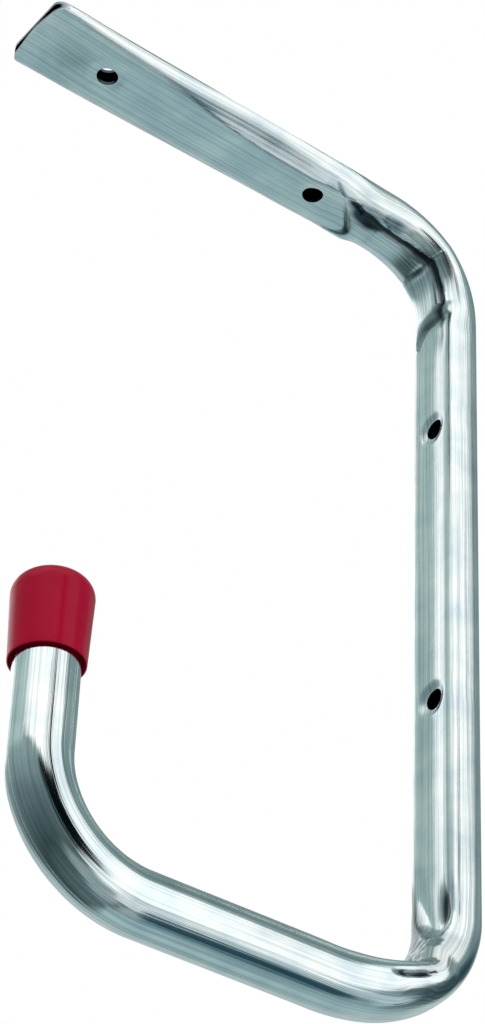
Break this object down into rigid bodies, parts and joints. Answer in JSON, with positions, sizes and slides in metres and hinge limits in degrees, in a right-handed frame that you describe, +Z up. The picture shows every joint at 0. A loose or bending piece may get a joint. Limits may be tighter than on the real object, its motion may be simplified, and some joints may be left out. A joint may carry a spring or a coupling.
{
  "type": "ceiling bracket",
  "caption": "Bent steel tube bracket for wall and ceiling, pressed flat where its screws go, with an upturned hook and a soft red cap on the tip.",
  "frame": {"origin": "midway between the two ceiling screw holes, on the plane of the ceiling", "axes": "+Z up to the ceiling, +Y back to the wall, X across the tube"},
  "size_m": [0.0274, 0.161, 0.2875],
  "materials": {
    "zinc_steel": "bright zinc plating over drawn tube, with fine lines along its length",
    "red_plastic": "satin moulded plastic, deep red"
  },
  "bodies": {
    "root": {"bracket_tube": "zinc_steel", "tip_cap": "red_plastic"}
  },
  "joints": []
}
